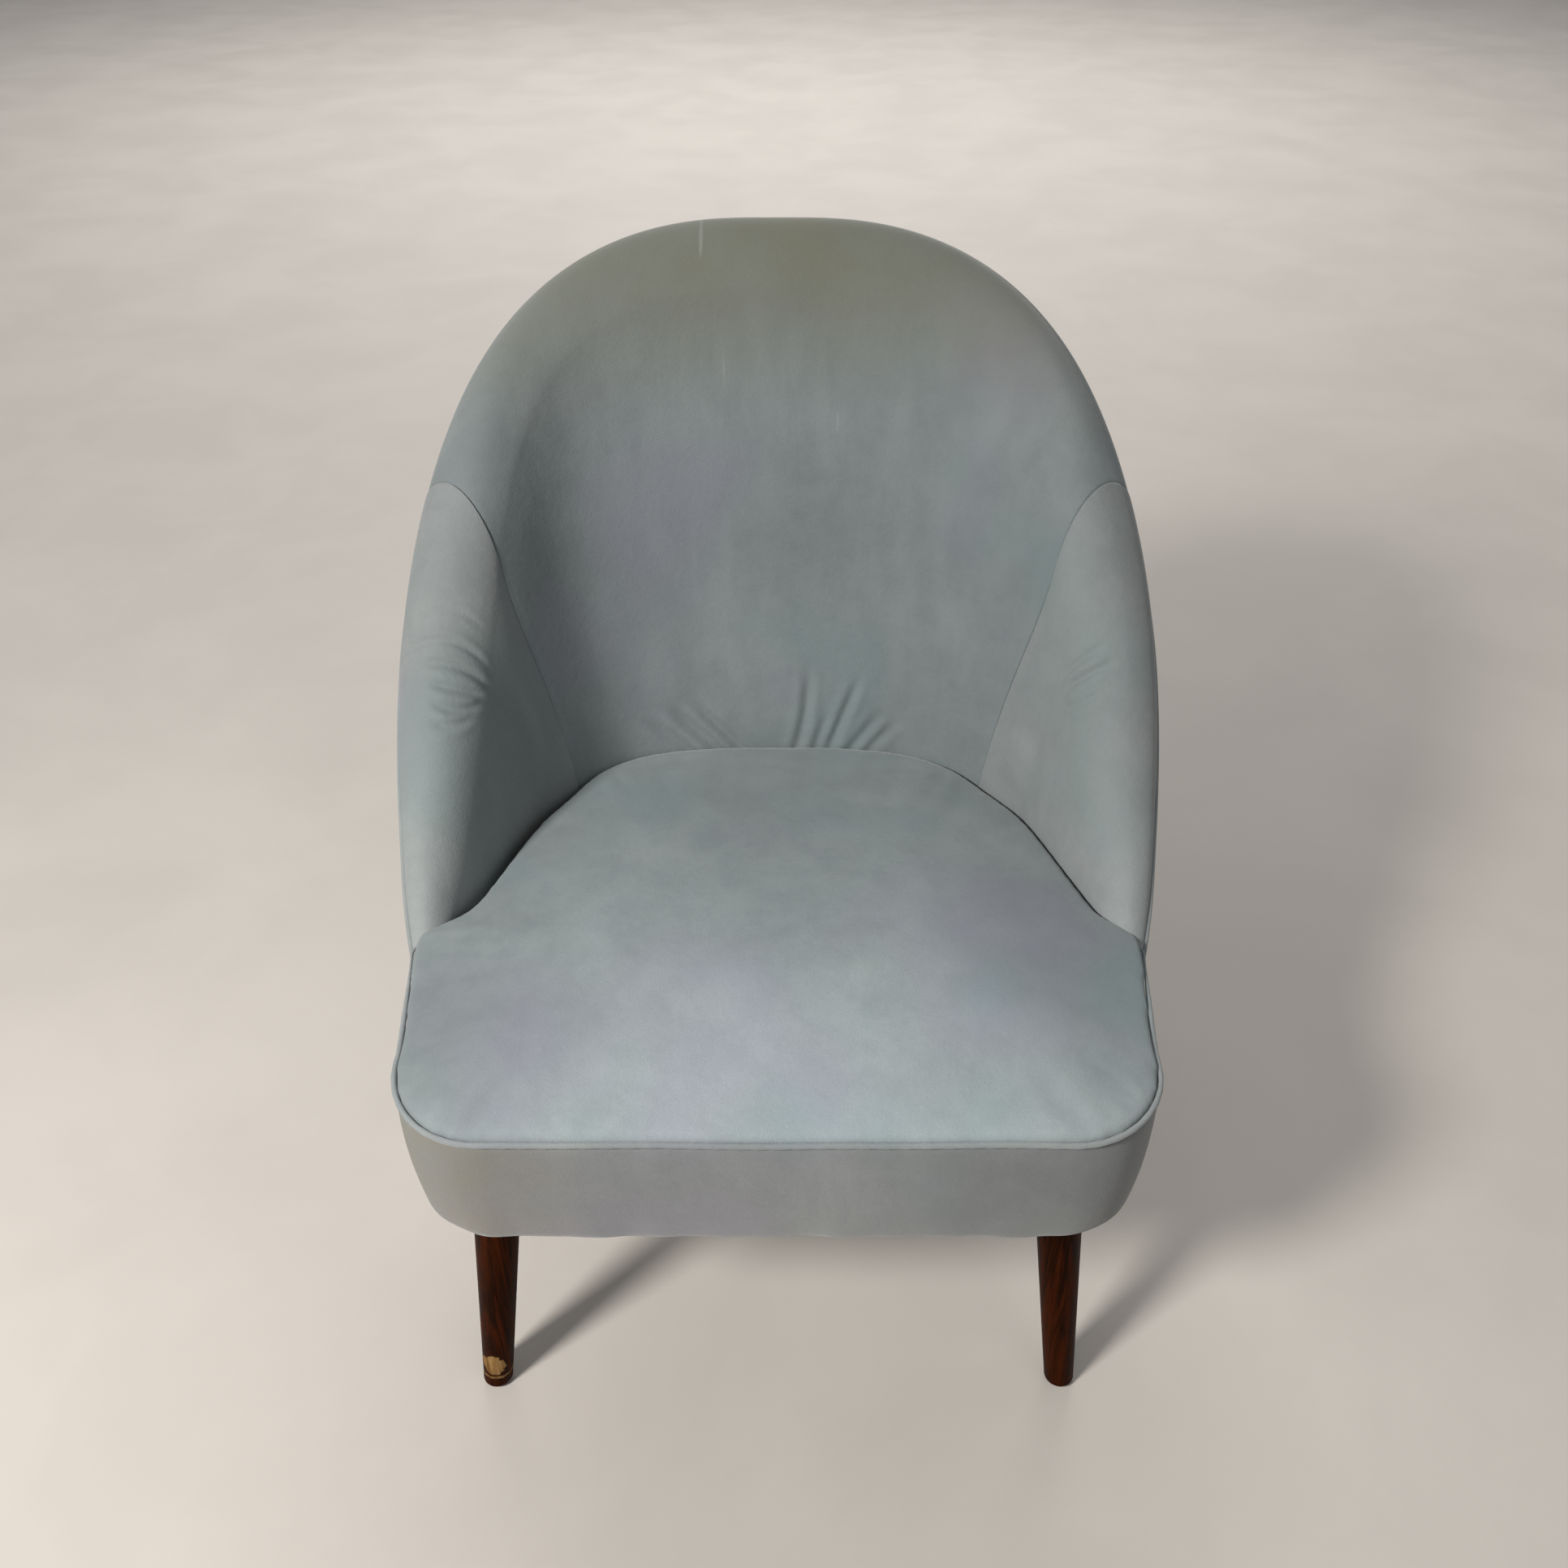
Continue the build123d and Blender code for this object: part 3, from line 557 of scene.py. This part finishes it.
def padded_panel(name, angle_at, forward, seam_gap, tip_gap, inset):
    """Closed padded panel, with the points that are held and the shape of its grid.

    seam_gap is each station's distance from its sewn ends, and tip_gap its distance from the arm tip.
    """
    inset = inset + groove(seam_gap, *SEAM_GROOVE)
    end = np.clip(1 - tip_gap / TIP_ROUND, 0, 1)
    squeeze = np.maximum(np.sqrt(np.maximum(1 - end * end, 0)), TIP_BLUNT)
    columns = []
    held = []
    everywhere = np.full(len(forward), True)

    def sized(t):
        shell = Shell(angle_at(t), forward)
        mid = shell.thick / 2
        return shell, mid, (mid - inset) * squeeze

    for t in np.linspace(0, 1, STRAIGHT, endpoint=False):
        shell, mid, radius = sized(t)
        low = shell.rise_at(mid + radius, LOW)
        high = np.maximum(shell.rise - 0.7 * radius, low + 0.004)
        columns.append(shell.at(mid + radius, low + (high - low) * t))
        held.append(columns[-1][:, 2] < SEWN_Z)
    shell, mid, radius = sized(1.0)
    high = np.maximum(shell.rise - 0.7 * radius, shell.rise_at(mid + radius, LOW) + 0.004)
    tall = shell.rise + radius - high
    for a in np.linspace(np.pi / 2, 0, INNER_TURN, endpoint=False):
        columns.append(shell.at(mid + radius * np.sin(a), high + tall * np.cos(a)))
        held.append(~everywhere)
    for a in np.linspace(np.pi / 2, 0, OUTER_TURN):
        drawn = radius - groove(radius * a, *EDGE_GROOVE)
        columns.append(shell.at(mid - drawn * np.cos(a), shell.rise + drawn * np.sin(a)))
        held.append(np.full(len(forward), a < 0.3))
    core = np.minimum(np.minimum(CORE, mid), mid + 0.6 * radius)
    for t in np.linspace(0.2, 1, 5):
        columns.append(shell.at(mid - radius + (core - mid + radius) * t, shell.rise))
        held.append(everywhere)
    for t in np.linspace(0.94, 0, 18):
        shell, mid, radius = sized(t)
        core = np.minimum(np.minimum(CORE, mid), mid + 0.6 * radius)
        low = shell.rise_at(core, LOW)
        columns.append(shell.at(core, low + (shell.rise - low) * t))
        held.append(everywhere)
    grid = np.stack(columns, 1)
    held = np.stack(held, 1)
    held |= ((seam_gap < 0.003) | (tip_gap < 0.006))[:, None]
    obj = loop_grid(name, grid)
    outward(obj)
    return obj, held.ravel(), grid.shape[:2]


def along(points):
    """Distance of each point from the first, along the line through them."""
    return np.concatenate([[0], np.cumsum(np.linalg.norm(np.diff(points, axis=0), axis=1))])


def crease(obj, shape, rows, cols, width, depth, bend=0.0):
    """Presses a soft fold into a grid piece, from one row and column to another."""
    u, v = np.meshgrid(np.arange(shape[0]), np.arange(shape[1]), indexing="ij")
    t = (v - cols[0]) / (cols[1] - cols[0])
    off = u - (rows[0] + (rows[1] - rows[0]) * t + bend * 4 * t * (1 - t))
    fade = smooth(-0.1, 0.25, t) * (1 - smooth(0.7, 1.1, t))
    fold = -np.exp(-((off / width) ** 2)) + 0.55 * np.exp(-(((np.abs(off) - 2.0 * width) / width) ** 2))
    move_to(obj, positions(obj) + normals(obj) * (depth * fold * fade).reshape(-1, 1))


def close_ends(count, tight):
    """Shares from 0 to 1 that crowd together at both ends, where the cover turns into its seams."""
    edge = np.linspace(0, tight, 6)[:-1]
    return np.concatenate([edge, np.linspace(tight, 1 - tight, count), 1 - edge[::-1]])


fine_angle = np.linspace(-SEAM_ANGLE, SEAM_ANGLE, 2001)
plan = Shell(fine_angle, 0 * fine_angle)
plan_run = along(np.stack([plan.x, plan.y], -1))
centre_angle = np.interp(close_ends(104, 0.016) * plan_run[-1], plan_run, fine_angle)
centre_share = (centre_angle / SEAM_ANGLE + 1) / 2
still = 0 * centre_share
inside = Shell(centre_angle, still)
centre_run = along(inside.at(inside.thick, 0.2))
centre_gap = np.minimum(centre_run, centre_run[-1] - centre_run)
back_pad, back_held, back_shape = padded_panel(
    "back_padding",
    lambda t: (seam_at(t) + LAP) * (2 * centre_share - 1),
    still,
    centre_gap,
    still + 1,
    BACK_INSET,
)
inflate(back_pad, back_held, BACK_SWELL, back_shape, 60)
mid_row = back_shape[0] // 2
FOLD_FOOT = 12  # first column of the folds, under the seat's edge
# Each fold: its row from the middle, its lean in rows, its last column, its bend, its width and its depth
for row, lean, top, bend, width, depth in (
    (2.5, 3.0, 26, 1.2, 0.9, 0.0038), (7, 3, 19, 0.0, 0.9, 0.0026), (9.5, 7, 25, 0.3, 0.9, 0.0040),
    (14, 8, 20, 0.0, 1.1, 0.0036), (17.5, 8, 19, 0.0, 1.1, 0.0030), (-7, -12, 21, 0.0, 1.5, 0.0056),
    (-12, -12, 21, 0.0, 1.5, 0.0056), (-18, -12, 20, 0.0, 1.4, 0.0040),
):
    row += mid_row
    crease(back_pad, back_shape, (row, row + lean), (FOLD_FOOT, top), width, depth, bend)
subdivide(back_pad)
dress(back_pad, back_mat, "velvet", "inner_back_panel", "back_foam")

round_share = close_ends(70, 0.03)[:-5]
tip_steps = REACH - TIP_ROUND * (1 - np.linspace(0, 1, 8)[1:]) ** 1.6
ahead = np.concatenate([np.linspace(0, REACH - TIP_ROUND, 14)[1:], tip_steps])
wing_share = np.concatenate([round_share / round_share[-1], np.ones(len(ahead))])
wing_forward = np.concatenate([0 * round_share, ahead])
WING_FOLD_LEAN = 9
# Each fold: its row, its first and last column, its bend and its depth
left_folds = (
    (34, 84, 114, 1.0, 0.0012), (40, 80, 122, 2.5, 0.0026), (44, 79, 112, 2.5, 0.0036),
    (48, 80, 108, 3.0, 0.0036), (52, 82, 106, 3.5, 0.0034), (56, 84, 106, 3.0, 0.0026),
)
right_folds = ((38, 74, 98, 1.5, 0.0022), (43, 76, 102, 2.0, 0.0028), (48, 76, 96, 1.5, 0.0020))
for side, name, folds in ((-1, "left", left_folds), (1, "right", right_folds)):
    inside = Shell(SEAM_ANGLE + (90 - SEAM_ANGLE) * wing_share, wing_forward)
    run = along(inside.at(inside.thick, 0.15))
    pad, held, shape = padded_panel(
        f"wing_padding_{name}",
        lambda t: side * (seam_at(t) + (90 - seam_at(t)) * wing_share),
        wing_forward,
        run,
        run[-1] - run,
        WING_INSET,
    )
    inflate(pad, held, WING_SWELL, shape, 24)
    for u, v0, v1, bend, deep in folds:
        crease(pad, shape, (u - WING_FOLD_LEAN, u), (v0, v1), 0.8, deep, bend)
    subdivide(pad)
    dress(pad, cloth_mat, "velvet", f"wing_panel_{name}", f"wing_foam_{name}")


def outer_cover(name, angle, forward, seam_gap, *nodes):
    """Stretched cover of the outside, turned in at its sewn edges."""
    shell = Shell(angle, forward)
    top = shell.rise - 0.0012
    outside = []
    inside = []
    draw = groove(seam_gap, *EDGE_GROOVE)
    for t in np.linspace(0, 1, 60):
        edge = groove(np.minimum(top * (1 - t), top * t), *EDGE_GROOVE)
        puff = 0.0012 * np.sin(np.pi * t) * smooth(0, 0.06, seam_gap)
        outside.append(shell.at(draw + edge - puff, top * t))
        inside.append(shell.at(draw + edge - puff + COVER, top * t))
    grid = np.stack(outside + inside[::-1], 1)
    obj = loop_grid(name, grid)
    outward(obj)
    subdivide(obj)
    dress(obj, cloth_mat, "velvet", *nodes)


outer_cover("outer_back_cover", centre_angle, still, centre_gap, "outer_back_panel")
for side, name in ((-1, "left"), (1, "right")):
    angle = side * (SEAM_ANGLE + (90 - SEAM_ANGLE) * wing_share)
    shell = Shell(angle, wing_forward)
    run = along(shell.at(0 * shell.thick, 0.1))
    outer_cover(f"outer_wing_cover_{name}", angle, wing_forward, run, f"outer_wing_panel_{name}")

# Piping along the outside seam
ahead = np.linspace(0, REACH - 0.001, 16)
turn = np.linspace(-90, 90, 181)
pipe_angle = np.concatenate([np.full(15, -90.0), turn, np.full(15, 90.0)])
pipe_forward = np.concatenate([ahead[:0:-1], 0 * turn, ahead[1:]])
shell = Shell(pipe_angle, pipe_forward)
path = shell.at(np.zeros(len(pipe_angle)), shell.rise + 0.001)
back_piping = tube("back_piping", path, WELT * 1.2)
dress(back_piping, piping_mat, "velvet_piping", "back_welt")

# Seat cushion
FLARE = 0.014  # how far the seat's sides stand out beside the arm tips
FLARE_LENGTH = 0.112
SETTLE = 0.009  # crevice at the left side of the seat
RAKE = 0.007  # fall of the seat towards the back
CREVICE = 0.001  # gap behind the seat
ARM_OVERLAP = 0.020  # length of the border and its piping that runs on inside the arm tips
ARM_SINK = 0.006
CROWN_Z = 0.4172


def flare(y, size):
    """How far the side of the seat stands out near the arm tips."""
    return size * np.clip((y - TIP_Y) / FLARE_LENGTH + 1, 0, 1) ** 1.2


def seat_rim(inset):
    """Plan of the seat as a closed ring of points, moved inwards."""
    angle = np.concatenate([np.linspace(0, 90, 46), np.full(3, 90.0)])
    forward = np.concatenate([np.zeros(46), [0.008, 0.016, 0.024]])
    shell = Shell(angle, forward)
    rear_depth = shell.thick + CREVICE + 0.6 * inset
    rear = shell.at(rear_depth, shell.rise_at(shell.thick, RAIL_TOP + 0.05))[:, :2]
    side = SEAT_HALF - inset
    y = TIP_Y + np.linspace(0.018, -FLARE_LENGTH, 16)
    beside = np.stack([side + flare(y, FLARE), y], -1)
    knots = np.concatenate([rear, [[side - 0.004, TIP_Y + 0.029]], beside])
    gaps = along(knots)
    fine = np.linspace(0, gaps[-1], 150)
    curve = np.stack([np.interp(fine, gaps, knots[:, k]) for k in (0, 1)], -1)
    for _ in range(10):
        curve[1:-1] = 0.25 * curve[:-2] + 0.5 * curve[1:-1] + 0.25 * curve[2:]
    corner = SEAT_RADIUS - inset
    front = FRONT + inset
    down = np.linspace(curve[-1, 1], front + corner, 14)[1:]
    turn = np.linspace(0, np.pi / 2, 16)[1:]
    arc = np.stack([side - corner + corner * np.cos(turn), front + corner - corner * np.sin(turn)], -1)
    flat = np.linspace(side - corner, 0, 22)[1:]
    half = np.concatenate([
        curve,
        np.stack([np.full(len(down), side), down], -1),
        arc,
        np.stack([flat, np.full(len(flat), front)], -1),
    ])
    mirror = half[-2:0:-1] * [-1, 1]
    settled = smooth(TIP_Y + 0.01, TIP_Y + 0.06, mirror[:, 1]) * (1 - smooth(0.05, 0.12, mirror[:, 1]))
    mirror[:, 0] += SETTLE * settled
    return np.concatenate([half, mirror])


# Profile of the seat's edge: how far in from the rim, and how high
rings = []
for inset, z in (
    (0.010, 0.360), (0.006, 0.372), (0.0040, 0.386), (0.0028, 0.396),
    (0.0012, 0.4005), (0.0004, 0.4030), (0.0016, 0.4054), (0.0070, 0.4092),
    (0.018, 0.4128), (0.036, 0.4156), (0.060, 0.4168),
):
    rim = seat_rim(inset)
    rings.append(np.column_stack([rim, np.full(len(rim), z)]))
heart = np.array([0.0, -0.09])
flat_rim = rings[-1][:, :2]
for share in (0.85, 0.7, 0.55, 0.4, 0.25, 0.1):
    rim = heart + (flat_rim - heart) * share
    rings.append(np.column_stack([rim, np.full(len(rim), CROWN_Z)]))
rings = np.stack(rings)
rings[:, :, 2] -= RAKE * smooth(-0.10, 0.17, rings[:, :, 1]) * smooth(0.39, 0.403, rings[:, :, 2])
seat_pad = loop_grid("seat_padding", rings)
outward(seat_pad)
remesh = seat_pad.modifiers.new("even", "REMESH")
remesh.mode = "VOXEL"
remesh.voxel_size = 0.0052
even = bpy.data.meshes.new_from_object(seat_pad.evaluated_get(bpy.context.evaluated_depsgraph_get()))
seat_pad.modifiers.remove(remesh)
seat_pad.data = even
for poly in even.polygons:
    poly.use_smooth = True
points = positions(seat_pad)
rim = seat_rim(0.0)
step = np.linalg.norm(points[:, None, :2] - rim[None], axis=2).min(1)
sewn = (points[:, 2] < 0.4035) | ((step < 0.004) & (points[:, 2] < 0.407))
inflate(seat_pad, sewn, SEAT_SWELL)
calm = seat_pad.modifiers.new("calm", "SMOOTH")
calm.factor = 0.5
calm.iterations = 3
subdivide(seat_pad)
dress(seat_pad, seat_mat, "velvet", "seat_cover_top", "seat_foam")

# Seat border and its piping


def front_path(inset, rear_shift=0.0, corner_steps=20):
    """Line round the front of the seat, from the left arm tip to the right one.

    rear_shift moves its ends outwards.
    """
    side, front, corner = SEAT_HALF - inset, FRONT + inset, SEAT_RADIUS - inset
    down = np.linspace(TIP_Y + ARM_OVERLAP, front + corner, 44)
    edge = side + flare(down, rear_shift) - ARM_SINK * smooth(TIP_Y, TIP_Y + ARM_OVERLAP, down)
    turn = np.linspace(0, np.pi / 2, corner_steps)[1:]
    arc = np.stack([-side + corner - corner * np.cos(turn), front + corner - corner * np.sin(turn)], -1)
    flat = np.linspace(-side + corner, 0, 44)[1:]
    half = np.concatenate([
        np.stack([-edge, down], -1), arc, np.stack([flat, np.full(len(flat), front)], -1)
    ])
    return np.concatenate([half, half[-2::-1] * [-1, 1]])


border_low, border_high = BASE_Z + 0.0006, SEAM_Z - WELT * 0.7
outside = []
inside = []
run = along(front_path(0))
ripple = sum(np.sin(run * k + p) for k, p in ((61.0, 0.3), (97.0, 1.9), (143.0, 4.1))) / 3
for t in np.linspace(0, 1, 26):
    z = border_low + (border_high - border_low) * t
    bulge = 0.0030 * np.sin(np.pi * t) ** 0.8
    fold = 0.0012 * np.exp(-((t / 0.25) ** 2)) + 0.0005 * np.exp(-(((1 - t) / 0.18) ** 2))
    edge = groove(min(t, 1 - t) * (border_high - border_low), 0.005, 0.0012)
    base = front_path(TUCK * (1 - t) - bulge + edge, FLARE * (0.1 + 0.9 * t) - bulge)
    lean = np.gradient(base, axis=0)
    lean /= np.linalg.norm(lean, axis=1, keepdims=True)
    push = np.stack([lean[:, 1], -lean[:, 0]], -1)
    outer = base + push * (fold * ripple)[:, None]
    outside.append(np.column_stack([outer, np.full(len(outer), z)]))
    inside.append(np.column_stack([outer - push * COVER, np.full(len(outer), z)]))
border_grid = np.stack(outside + inside[::-1], 1)
border = loop_grid("seat_border_cover", border_grid)
outward(border)
subdivide(border)
dress(border, border_mat, "velvet", "seat_border")

rim = front_path(-0.0002, FLARE, 28)
run = along(rim)
sunk = smooth(TIP_Y - 0.075, TIP_Y - 0.005, rim[:, 1])
wander = SEAM_Z + 0.0010 - 0.0035 * sunk + 0.0006 * np.sin(run * 23) + 0.0004 * np.sin(run * 51 + 1)
girth = WELT * (1 + 0.06 * np.sin(run * 420)) * (1 - 0.5 * sunk)
seat_piping = tube("seat_piping", np.column_stack([rim, wander]), girth)
dress(seat_piping, piping_mat, "velvet_piping", "seat_welt")

# Floor, light and camera
bpy.ops.mesh.primitive_plane_add(size=30)
floor = bpy.context.object
floor.name = "floor"
floor_mat = plain("floor", linear(187, 180, 172), linear(193, 186, 178), 3.0, 0.9, depth=0.0002)
floor.data.materials.append(floor_mat)

scene = bpy.context.scene
scene.view_settings.view_transform = "Standard"
world = bpy.data.worlds.new("studio")
world.use_nodes = True
world.node_tree.nodes["Background"].inputs["Color"].default_value = (0.95, 0.97, 1.0, 1.0)
world.node_tree.nodes["Background"].inputs["Strength"].default_value = 0.24
scene.world = world


def lamp(name, place, aim, size, power, colour=(1.0, 1.0, 1.0)):
    data = bpy.data.lights.new(name, "AREA")
    data.shape = "DISK"
    data.size = size
    data.energy = power
    data.color = colour
    obj = bpy.data.objects.new(name, data)
    scene.collection.objects.link(obj)
    obj.location = place
    way = np.array(aim) - np.array(place)
    tilt = math.atan2(math.hypot(way[0], way[1]), -way[2])
    obj.rotation_euler = (tilt, 0, math.atan2(-way[0], way[1]))


lamp("key", (-1.45, -1.45, 2.05), (0, -0.1, 0.42), 0.5, 78, (1.0, 0.985, 0.96))
lamp("fill", (1.6, -2.2, 1.6), (0, 0, 0.45), 2.0, 9)
lamp("back", (0.4, 2.2, 2.4), (0, 0.1, 0.6), 1.6, 3)
lamp("backdrop", (0, 5.0, 4.0), (0, 5.2, 0), 5.0, 260)

FRAME_PIXELS = 1932
FOCAL_PIXELS = 1700
camera = bpy.data.objects.new("camera", bpy.data.cameras.new("camera"))
scene.collection.objects.link(camera)
camera.data.sensor_width = 36.0
camera.data.lens = 36.0 * FOCAL_PIXELS / FRAME_PIXELS
camera.location = (0.005, -0.93, 1.19)
camera.rotation_euler = (math.radians(52.5), 0, 0)
scene.camera = camera
